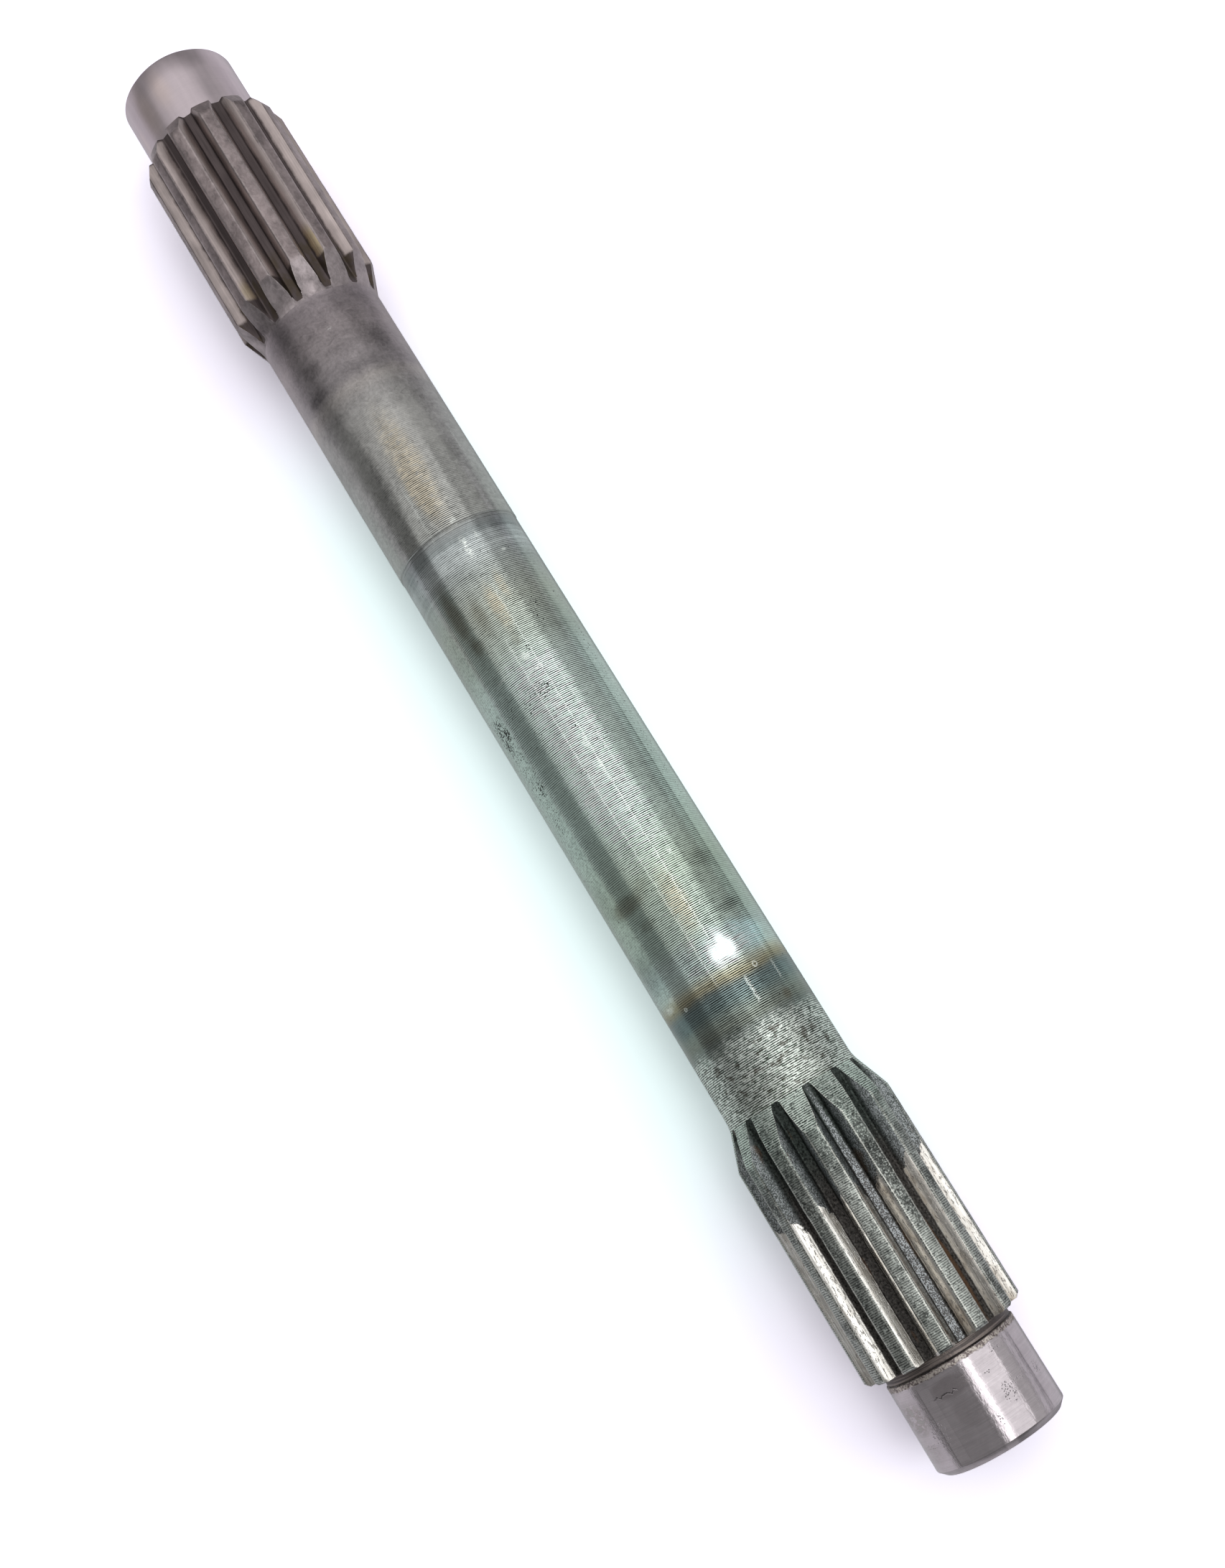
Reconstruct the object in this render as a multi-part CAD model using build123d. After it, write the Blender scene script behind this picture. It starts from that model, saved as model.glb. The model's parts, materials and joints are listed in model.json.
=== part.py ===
from build123d import *
import math
import os

os.makedirs("parts", exist_ok=True)

# A splined drive shaft, turned from one bar and hobbed at both ends. It runs
# along X from its far end to its near end, and lies on the teeth of its two
# splines. Sizes are in millimetres, angles in degrees.

# Bar
overall_length = 250.0
end_chamfer = 0.9

# Journals, one outside each spline
far_journal_diameter = 20.0
far_journal_length = 13.0
near_journal_diameter = 20.2
near_journal_length = 13.5

# Splines, the same cutter at both ends
tooth_count = 13
spline_module = 5 / 3
pressure_angle = 20.0
profile_shift = 0.8
tip_height = 0.2
root_depth = 1.0
root_fillet = 0.3
spline_length = 33.5
spline_clocking = 11.4

# Tooth ends towards the journals
far_lead_length = 2.2
far_lead_height = 1.0
near_tip_chamfer = 0.5

# Grinding relief between the near spline and its journal
relief_width = 1.4
relief_depth = 0.25

# Body between the splines, turned in two passes that meet at a small step
far_body_diameter = 20.8
near_body_diameter = 20.6
far_body_length = 45.7

# Cones from the splines down to the body
cone_angle = 20.0
cone_blend = 6.0

# Lathe centres in both end faces
centre_pilot_diameter = 2.5
centre_mouth_diameter = 5.3
centre_depth = 5.5
centre_angle = 60.0
drill_point_angle = 118.0

# How far the cutter runs past what it cuts
cutter_overrun = 1.0
flank_spans = 6

# Radii of the tooth form
pitch_radius = spline_module * tooth_count / 2
major_radius = pitch_radius + spline_module * (profile_shift + tip_height)
minor_radius = pitch_radius + spline_module * (profile_shift - root_depth)
base_radius = pitch_radius * math.cos(math.radians(pressure_angle))

# Radii of the turned form
far_journal_radius = far_journal_diameter / 2
near_journal_radius = near_journal_diameter / 2
far_body_radius = far_body_diameter / 2
near_body_radius = near_body_diameter / 2
relief_radius = near_journal_radius - relief_depth

# Stations along the shaft, from the far end
cone_slope = math.tan(math.radians(cone_angle))
far_spline_start = far_journal_length
far_spline_end = far_spline_start + spline_length
far_cone_base = far_spline_end + (major_radius - far_body_radius) / cone_slope
body_step = far_cone_base + far_body_length
relief_end = overall_length - near_journal_length
near_spline_end = relief_end - relief_width
near_spline_start = near_spline_end - spline_length
near_cone_base = near_spline_start - (major_radius - near_body_radius) / cone_slope


def involute(angle):
    """Involute function of an angle in radians."""
    return math.tan(angle) - angle


def half_gap(radius):
    """Angle in radians from the middle of a tooth gap to its flank, at a radius."""
    pressure = math.radians(pressure_angle)
    half_tooth_at_pitch = (math.pi / 2 + 2 * profile_shift * math.tan(pressure)) / tooth_count
    roll = math.acos(min(1.0, base_radius / radius))
    half_tooth = half_tooth_at_pitch + involute(pressure) - involute(roll)
    return math.pi / tooth_count - half_tooth


def gap_profile():
    """Section of the gap between two teeth, centred on +X, with rounded root corners."""
    mouth_radius = major_radius + cutter_overrun
    radii = [
        minor_radius + (mouth_radius - minor_radius) * span / flank_spans
        for span in range(flank_spans + 1)
    ]
    upper = [(r * math.cos(half_gap(r)), r * math.sin(half_gap(r))) for r in radii]
    lower = [(x, -y) for x, y in upper]
    with BuildSketch() as gap:
        with BuildLine():
            Spline(*upper)
            Spline(*lower)
            ThreePointArc(upper[0], (minor_radius, 0), lower[0])
            Line(upper[-1], lower[-1])
        make_face()
        fillet(gap.vertices().sort_by_distance((0, 0, 0))[:2], radius=root_fillet)
    return gap.sketch


def tooth_gaps(start, end, first_angle):
    """The gaps of one spline, from start to end along the shaft, one of them at first_angle."""
    section = Plane((start, 0, 0), x_dir=(0, 1, 0), z_dir=(1, 0, 0))
    profile = gap_profile()
    pitch_angle = 360 / tooth_count
    return [
        extrude(section * Rot(0, 0, first_angle + pitch_angle * tooth) * profile, amount=end - start)
        for tooth in range(tooth_count)
    ]


def centre_points():
    """Half section of the far lathe centre, from its mouth to the drill point."""
    mouth = centre_mouth_diameter / 2
    pilot = centre_pilot_diameter / 2
    cone_depth = (mouth - pilot) / math.tan(math.radians(centre_angle / 2))
    point_length = pilot / math.tan(math.radians(drill_point_angle / 2))
    return [(0, mouth), (cone_depth, pilot), (centre_depth, pilot), (centre_depth + point_length, 0)]


def turned_blank():
    """The turned bar before its teeth are cut, with a lathe centre in each end."""
    far_centre = centre_points()
    near_centre = [(overall_length - x, r) for x, r in far_centre]
    outline = [
        *reversed(far_centre),
        (0, far_journal_radius - end_chamfer),
        (end_chamfer, far_journal_radius),
        (far_spline_start, far_journal_radius),
        (far_spline_start, major_radius - far_lead_height),
        (far_spline_start + far_lead_length, major_radius),
        (far_spline_end, major_radius),
        (far_cone_base, far_body_radius),
        (body_step, far_body_radius),
        (body_step, near_body_radius),
        (near_cone_base, near_body_radius),
        (near_spline_start, major_radius),
        (near_spline_end - near_tip_chamfer, major_radius),
        (near_spline_end, major_radius - near_tip_chamfer),
        (near_spline_end, relief_radius),
        (relief_end, relief_radius),
        (relief_end, near_journal_radius),
        (overall_length - end_chamfer, near_journal_radius),
        (overall_length, near_journal_radius - end_chamfer),
        *near_centre,
    ]
    with BuildPart() as blank:
        with BuildSketch() as section:
            with BuildLine():
                Polyline(*outline, close=True)
            make_face()
            far_corner = section.vertices().sort_by_distance((far_cone_base, far_body_radius))[0]
            near_corner = section.vertices().sort_by_distance((near_cone_base, near_body_radius))[0]
            fillet([far_corner, near_corner], radius=cone_blend)
        revolve(axis=Axis.X)
    return blank.part


def splined_shaft():
    """The finished shaft, lying on its teeth with the origin under its middle."""
    far_gaps = tooth_gaps(
        far_spline_start - cutter_overrun, far_cone_base + cutter_overrun, -90 - spline_clocking
    )
    near_gaps = tooth_gaps(near_cone_base - cutter_overrun, near_spline_end + cutter_overrun, -90)
    shaft = turned_blank() - [*far_gaps, *near_gaps]
    rest_height = -shaft.bounding_box().min.Z
    return Pos(-overall_length / 2, 0, rest_height) * shaft


export_step(splined_shaft(), "parts/splined_shaft.step")
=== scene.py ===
"""Splined drive shaft, turned, hobbed and ground from one steel bar, lying on a pale floor.

The shaft runs along X from its far journal to its near journal. Stations are in
millimetres from the far end face, radii in millimetres from the axis, and
azimuths in degrees round the axis from straight up, towards -Y.
"""

from __future__ import annotations

import json
import logging
import math
from collections.abc import Callable, Mapping, Sequence
from dataclasses import dataclass, field
from enum import IntEnum
from typing import Any, Union

import bpy
import numpy as np
from mathutils import Matrix, Vector

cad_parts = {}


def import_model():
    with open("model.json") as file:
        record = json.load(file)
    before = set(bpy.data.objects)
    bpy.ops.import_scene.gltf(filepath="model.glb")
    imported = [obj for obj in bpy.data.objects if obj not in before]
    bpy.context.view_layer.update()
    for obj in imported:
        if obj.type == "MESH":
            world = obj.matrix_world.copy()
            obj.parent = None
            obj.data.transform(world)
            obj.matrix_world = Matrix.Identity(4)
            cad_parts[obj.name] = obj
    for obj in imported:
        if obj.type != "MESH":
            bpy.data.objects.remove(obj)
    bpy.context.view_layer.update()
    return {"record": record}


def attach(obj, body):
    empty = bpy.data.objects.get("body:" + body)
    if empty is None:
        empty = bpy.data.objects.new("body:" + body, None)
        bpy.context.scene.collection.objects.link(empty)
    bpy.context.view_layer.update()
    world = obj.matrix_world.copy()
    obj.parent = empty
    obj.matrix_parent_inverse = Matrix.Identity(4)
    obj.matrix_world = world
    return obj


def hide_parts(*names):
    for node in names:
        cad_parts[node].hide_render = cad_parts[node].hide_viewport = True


log = logging.getLogger("splined_shaft")

MM = 0.001
FULL_TURN = 2 * math.pi

Triple = tuple[float, float, float]
Point = tuple[float, float]
Spot = tuple[float, float, float, float, float]
Feed = Union["Wire", float, int, str, bool, Sequence[float], bpy.types.Material, None]
Feeds = Union[Mapping[Any, Feed], None]
Settings = Union[Mapping[str, Any], None]


def tone(red: float, green: float, blue: float) -> Triple:
    """Linear colour of a tone given as it shows on a screen, each value from 0 to 1."""
    return tuple(c / 12.92 if c <= 0.04045 else ((c + 0.055) / 1.055) ** 2.4 for c in (red, green, blue))


def vary(level: Feed, *parts: tuple[Wire, Feed]) -> Wire:
    """A level, with noises added about their middle, each with its strength."""
    return sum(((noise - 0.5) * strength for noise, strength in parts), level)


def operator(operation: str, swapped: bool = False) -> Callable[[Wire, Feed], Wire]:
    """A Python operator that adds one Math node.

    Args:
        operation: what the node works out.
        swapped: whether the other value stands on the left.

    Returns:
        The operator's method.
    """

    def method(wire: Wire, other: Feed) -> Wire:
        """The sum, product or other result."""
        return wire.bench.maths(operation, *((other, wire) if swapped else (wire, other)))

    return method


@dataclass(frozen=True, eq=False)
class Wire:
    """A node's output that Python arithmetic can use."""

    bench: Bench
    socket: bpy.types.NodeSocket

    __add__ = __radd__ = operator("ADD")
    __mul__ = __rmul__ = operator("MULTIPLY")
    __sub__, __rsub__ = operator("SUBTRACT"), operator("SUBTRACT", True)
    __truediv__, __rtruediv__ = operator("DIVIDE"), operator("DIVIDE", True)

    def __neg__(self) -> Wire:
        """Negative."""
        return self * -1.0

    def __abs__(self) -> Wire:
        """Size without sign."""
        return self.bench.maths("ABSOLUTE", self)

    def smooth(self, low: float, high: float) -> Wire:
        """Soft step, either way round.

        Args:
            low: value that gives 0.
            high: value that gives 1.

        Returns:
            The step, clamped.
        """
        start, end, first, last = (low, high, 0.0, 1.0) if low < high else (high, low, 1.0, 0.0)
        feeds = {"Value": self, "From Min": start, "From Max": end, "To Min": first, "To Max": last}
        return self.bench.add("ShaderNodeMapRange", feeds, {"interpolation_type": "SMOOTHSTEP"})

    def band(self, start: float, end: float, soft: float) -> Wire:
        """Mask that is 1 between two values, with edges that fade over a width."""
        half = soft / 2
        return self.smooth(start - half, start + half) * self.smooth(end + half, end - half)


@dataclass
class Bench:
    """One node tree, and the only way that nodes are added to it."""

    tree: bpy.types.NodeTree

    def node(self, kind: str, feeds: Feeds = None, settings: Settings = None) -> bpy.types.Node:
        """Adds a node.

        Args:
            kind: the node's type.
            feeds: the value or wire of each input, by name or number.
            settings: its properties, or "stops" for a ramp's positions and colours.

        Returns:
            The node.
        """
        made = self.tree.nodes.new(kind)
        for name, value in (settings or {}).items():
            if name != "stops":
                setattr(made, name, value)
                continue
            stops = made.color_ramp.elements
            while len(stops) < len(value):
                stops.new(1.0)
            for stop, (position, colour) in zip(stops, value):
                stop.position, stop.color = position, (*colour, 1.0)
        for key, value in (feeds or {}).items():
            if isinstance(value, Wire):
                self.tree.links.new(value.socket, made.inputs[key])
            elif value is not None:
                made.inputs[key].default_value = value
        return made

    def add(self, kind: str, feeds: Feeds = None, settings: Settings = None, output: int | str = 0) -> Wire:
        """Adds a node, as node does, and gives one of its outputs as a wire."""
        return Wire(self, self.node(kind, feeds, settings).outputs[output])

    def maths(self, operation: str, *values: Feed) -> Wire:
        """Math node on one to three values."""
        return self.add("ShaderNodeMath", dict(enumerate(values)), {"operation": operation})

    def vector(self, operation: str, *values: Feed, output: int | str = 0) -> Wire:
        """Vector Math node on one to three vectors."""
        return self.add("ShaderNodeVectorMath", dict(enumerate(values)), {"operation": operation}, output)

    def shade(self, colour: Feed, amount: Feed) -> Wire:
        """A colour or vector scaled by a value."""
        return self.add("ShaderNodeVectorMath", {0: colour, "Scale": amount}, {"operation": "SCALE"})

    def join(self, x: Feed, y: Feed, z: Feed) -> Wire:
        """A vector from three values."""
        return self.add("ShaderNodeCombineXYZ", {0: x, 1: y, 2: z})

    def split(self, vector: Feed) -> list[Wire]:
        """The three values of a vector."""
        return [Wire(self, socket) for socket in self.node("ShaderNodeSeparateXYZ", {0: vector}).outputs]

    def coats(self, colour: Feed, *layers: tuple[Feed, Feed]) -> Feed:
        """Colours laid over each other.

        Args:
            colour: the lowest, a wire or three values.
            layers: the share that each coat covers, and its colour.

        Returns:
            The colour on top.
        """
        for share, coat in layers:
            below, above = (c if isinstance(c, Wire) else (*c, 1.0) for c in (colour, coat))
            colour = self.add("ShaderNodeMix", {0: share, 6: below, 7: above}, {"data_type": "RGBA"}, 2)
        return colour


def stand(name: str, data: bpy.types.ID, place: Triple = (0, 0, 0), axes: Sequence[Triple] = ()) -> bpy.types.Object:
    """Puts an object in the scene.

    Args:
        name: the object's name.
        data: its mesh, lamp or camera.
        place: where it stands.
        axes: its own X, Y and Z, if it is turned.

    Returns:
        The object.
    """
    made = bpy.data.objects.new(name, data)
    if axes:
        made.matrix_world = Matrix.Translation(place) @ Matrix(axes).transposed().to_4x4()
    bpy.context.scene.collection.objects.link(made)
    return made


class Zone(IntEnum):
    """Parts of the shaft's skin that were finished in different ways."""

    FAR_JOURNAL = 0
    FAR_LAND = 1
    FAR_FLANK = 2
    BODY = 3
    NEAR_LAND = 4
    NEAR_FLANK = 5
    NEAR_JOURNAL = 6
    END_FACE = 7

    @property
    def label(self) -> str:
        """The zone's name in the tree's inputs."""
        return self.name.replace("_", " ").title()


@dataclass(frozen=True)
class Column:
    """One line of the tooth sector that runs along the shaft.

    Attributes:
        angle: degrees from the middle of the gap.
        reach: highest radius that the cutter left there, in mm.
        wear: share of the flank wear that the line takes.
    """

    angle: float
    reach: float
    wear: float = 0.0


@dataclass(frozen=True)
class ToothForm:
    """Involute tooth shape that both splines share. Lengths in mm, angles in degrees."""

    teeth: int = 13
    module: float = 5 / 3
    pressure_angle: float = 20.0
    profile_shift: float = 0.8
    tip_height: float = 0.2
    root_depth: float = 1.0
    root_fillet: float = 0.3
    edge_break: float = 0.14
    land_margin: float = 0.4
    fillet_steps: int = 3
    flank_steps: int = 4

    @property
    def pitch_radius(self) -> float:
        """Radius of the pitch circle."""
        return self.module * self.teeth / 2

    @property
    def major_radius(self) -> float:
        """Radius over the tooth tips."""
        return self.pitch_radius + self.module * (self.profile_shift + self.tip_height)

    @property
    def minor_radius(self) -> float:
        """Radius at the bottom of the gaps."""
        return self.pitch_radius + self.module * (self.profile_shift - self.root_depth)

    @property
    def half_pitch(self) -> float:
        """Half the angle between two teeth."""
        return 180.0 / self.teeth

    def half_gap(self, radius: float) -> float:
        """Angle from the middle of a gap to its flank.

        Args:
            radius: where the flank is met.

        Returns:
            The angle in degrees.
        """
        pressure = math.radians(self.pressure_angle)
        roll = math.acos(min(1.0, self.pitch_radius * math.cos(pressure) / radius))
        half_tooth = (math.pi / 2 + 2 * self.profile_shift * math.tan(pressure)) / self.teeth
        half_tooth += math.tan(pressure) - pressure - (math.tan(roll) - roll)
        return math.degrees(math.pi / self.teeth - half_tooth)

    def _flank_point(self, radius: float) -> Vector:
        """Where the flank is met, seen along the shaft."""
        angle = math.radians(self.half_gap(radius))
        return Vector((radius * math.cos(angle), radius * math.sin(angle)))

    def _fillet(self) -> list[Column]:
        """Lines round the root corner.

        Returns:
            The lines, from the gap's floor to the flank.
        """
        corner = self._flank_point(self.minor_radius)
        along_floor = Vector((corner.y, -corner.x)).normalized()
        up_flank = (self._flank_point(self.minor_radius + self.root_fillet) - corner).normalized()
        spread = along_floor.angle(up_flank)
        reach = self.root_fillet / math.tan(spread / 2)
        middle = corner + (along_floor + up_flank).normalized() * self.root_fillet / math.sin(spread / 2)
        first, last = (corner + way * reach - middle for way in (along_floor, up_flank))
        lines = []
        for step in range(self.fillet_steps + 1):
            point = middle + first.lerp(last, step / self.fillet_steps).normalized() * self.root_fillet
            lines.append(Column(math.degrees(math.atan2(point.y, point.x)), point.length))
        return lines

    def columns(self) -> list[Column]:
        """Lines of one sector, from the middle of one land to the middle of the next.

        Returns:
            The lines in order of angle, the gap's middle at 0.
        """
        fillet = self._fillet()
        low, high = fillet[-1].reach, self.major_radius - self.edge_break
        radii = [low + (high - low) * step / self.flank_steps for step in range(1, self.flank_steps + 1)]
        edge = self.half_gap(self.major_radius)
        turn, margin = (math.degrees(x / self.major_radius) for x in (self.edge_break, self.land_margin))
        right = [
            Column(0.0, self.minor_radius),
            Column(fillet[0].angle * 0.55, self.minor_radius),
            *fillet,
            *(Column(self.half_gap(radius), radius, 1.0) for radius in radii),
            Column(edge + turn * 0.25, self.major_radius - self.edge_break * 0.3, 1.0),
            Column(edge + turn, self.major_radius, 1.0),
            Column(edge + turn + margin, math.inf),
            Column(self.half_pitch, math.inf),
        ]
        return [Column(-c.angle, c.reach, c.wear) for c in reversed(right[1:])] + right


@dataclass(frozen=True)
class SplineWear:
    """How one spline stands round the axis, and how its flanks have worn.

    Attributes:
        land_azimuth: azimuth of one tooth, from +Y towards +Z, in degrees.
        worn_from: station where the hub's wear begins.
        worn_to: station where it ends.
        wear_depth: metal worn off each flank, in mm.
        run_in: length over which the wear comes on, in mm.
    """

    land_azimuth: float
    worn_from: float
    worn_to: float
    wear_depth: float
    run_in: float = 0.5

    def wear(self, station: float) -> float:
        """Depth of the wear at a station, in mm."""
        shares = ((station - self.worn_from) / self.run_in, (self.worn_to - station) / self.run_in)
        return self.wear_depth * math.prod(min(1.0, max(0.0, share)) for share in shares)


@dataclass(frozen=True)
class TurnedForm:
    """Outline that the lathe gave the bar, before and after the teeth were cut. In mm and degrees."""

    length: float = 250.0
    chamfer: float = 0.9
    corner: float = 0.05
    journal_corner: float = 0.1
    far_journal: float = 10.0
    near_journal: float = 10.1
    far_journal_length: float = 13.0
    near_journal_length: float = 13.5
    spline_length: float = 33.5
    far_lead: float = 2.2
    far_lead_height: float = 1.0
    near_tip_chamfer: float = 0.5
    relief_width: float = 1.4
    relief_depth: float = 0.25
    relief_corner: float = 0.2
    far_body: float = 10.4
    near_body: float = 10.3
    far_body_length: float = 45.7
    cone_angle: float = 20.0
    cone_blend: float = 6.0
    blend_steps: int = 6
    centre_mouth: float = 2.65
    centre_pilot: float = 1.25
    centre_depth: float = 5.5
    tip_clearance: float = 0.012
    near_cell: float = 0.7
    far_cell: float = 0.9
    plain_cell: float = 5.0

    @property
    def far_spline_end(self) -> float:
        """Station where the far cone begins."""
        return self.far_journal_length + self.spline_length

    @property
    def near_spline_end(self) -> float:
        """Station of the near spline's end face."""
        return self.length - self.near_journal_length - self.relief_width

    @property
    def near_spline_start(self) -> float:
        """Station where the near cone ends."""
        return self.near_spline_end - self.spline_length

    def cone_bases(self, major: float) -> Point:
        """Where the cones would meet the body without their blends.

        Args:
            major: radius over the tooth tips.

        Returns:
            Station of the far cone's base and of the near cone's.
        """
        far, near = (major - body for body in (self.far_body, self.near_body))
        slope = math.tan(math.radians(self.cone_angle))
        return self.far_spline_end + far / slope, self.near_spline_start - near / slope

    def _blend(self, base: float, body: float, way: int) -> list[Point]:
        """Points of the hollow between the body and a cone, from the body outwards.

        Args:
            base: station of the corner that the blend rounds off.
            body: radius of the body.
            way: 1 where the cone rises along the shaft, -1 where it falls.

        Returns:
            Station and radius of each point.
        """
        slope = math.radians(self.cone_angle)
        start = base - way * self.cone_blend * math.tan(slope / 2)
        turns = [slope * step / self.blend_steps for step in range(self.blend_steps + 1)]
        hollow = self.cone_blend
        return [(start + way * hollow * math.sin(t), body + hollow * (1 - math.cos(t))) for t in turns]

    def _end(self, journal: float) -> list[Point]:
        """Depth and radius of an end's outline, from its lathe centre out to a journal's radius."""
        cut, corner, pilot, mouth = self.chamfer, self.corner, self.centre_pilot, self.centre_mouth
        return [
            (self.centre_depth + pilot / math.tan(math.radians(59)), 0.0),
            (self.centre_depth, pilot),
            ((mouth - pilot) / math.tan(math.radians(30)), pilot),
            (0.0, mouth),
            (0.0, (mouth + journal) / 2),
            (0.0, journal - cut - corner),
            (0.03, journal - cut),
            (cut - 0.06, journal - corner),
            (cut + self.journal_corner, journal),
        ]

    def outline(self, form: ToothForm) -> list[Point]:
        """Stations and radii of the turned bar, from the far centre to the near one.

        Args:
            form: the tooth form, for the radius over the tips.

        Returns:
            The points in order, with two points where the radius jumps.
        """
        tip, near, corner = form.major_radius, self.near_journal, self.relief_corner
        far_base, near_base = self.cone_bases(tip)
        step = far_base + self.far_body_length
        relief = near - self.relief_depth
        start, end = self.far_journal_length, self.near_spline_end
        seat = self.length - self.near_journal_length
        return [
            *self._end(self.far_journal),
            (start, self.far_journal),
            (start, tip - self.far_lead_height),
            (start + self.far_lead, tip),
            (self.far_spline_end, tip),
            *reversed(self._blend(far_base, self.far_body, -1)),
            (step - self.corner, self.far_body),
            (step + self.corner, self.near_body),
            *self._blend(near_base, self.near_body, 1),
            (self.near_spline_start, tip),
            (end - self.near_tip_chamfer, tip),
            (end, tip - self.near_tip_chamfer),
            (end, relief + corner),
            (end + corner, relief),
            (seat - 0.15, relief),
            (seat, near - self.journal_corner),
            (seat + self.journal_corner, near),
            *((self.length - depth, radius) for depth, radius in reversed(self._end(near))),
        ]

    def rows(self, form: ToothForm, reaches: Sequence[float]) -> list[Point]:
        """Stations and radii of every ring of the mesh.

        A ring is added wherever the outline crosses a line's reach, so that the
        edge between a cone and a gap runs through corners of the mesh.

        Args:
            form: the tooth form.
            reaches: radii at which the outline is split.

        Returns:
            The rings in order along the shaft.
        """
        points = self.outline(form)
        rings = [points[0]]
        for (x0, r0), (x1, r1) in zip(points, points[1:]):
            shares = []
            if abs(x1 - x0) > 1e-9 and min(r0, r1) > self.centre_mouth:
                shares = [(c - r0) / (r1 - r0) for c in reaches if min(r0, r1) < c < max(r0, r1)]
                pieces = math.ceil(abs(x1 - x0) / self._spacing(x0, r0))
                shares = shares or [i / pieces for i in range(1, pieces)]
            rings += [(x0 + (x1 - x0) * s, r0 + (r1 - r0) * s) for s in (*sorted(shares), 1.0)]
        return rings

    def _spacing(self, station: float, radius: float) -> float:
        """Longest mesh cell at a station, in mm: short on the teeth, long elsewhere."""
        on_teeth = self.near_cell if station > self.length / 2 else self.far_cell
        return on_teeth if radius > self.far_body + 0.5 else self.plain_cell


@dataclass
class Layers:
    """What a finish gives the shader: colour, roughness and height in mm."""

    colour: Feed
    roughness: Feed
    height: Wire


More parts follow.
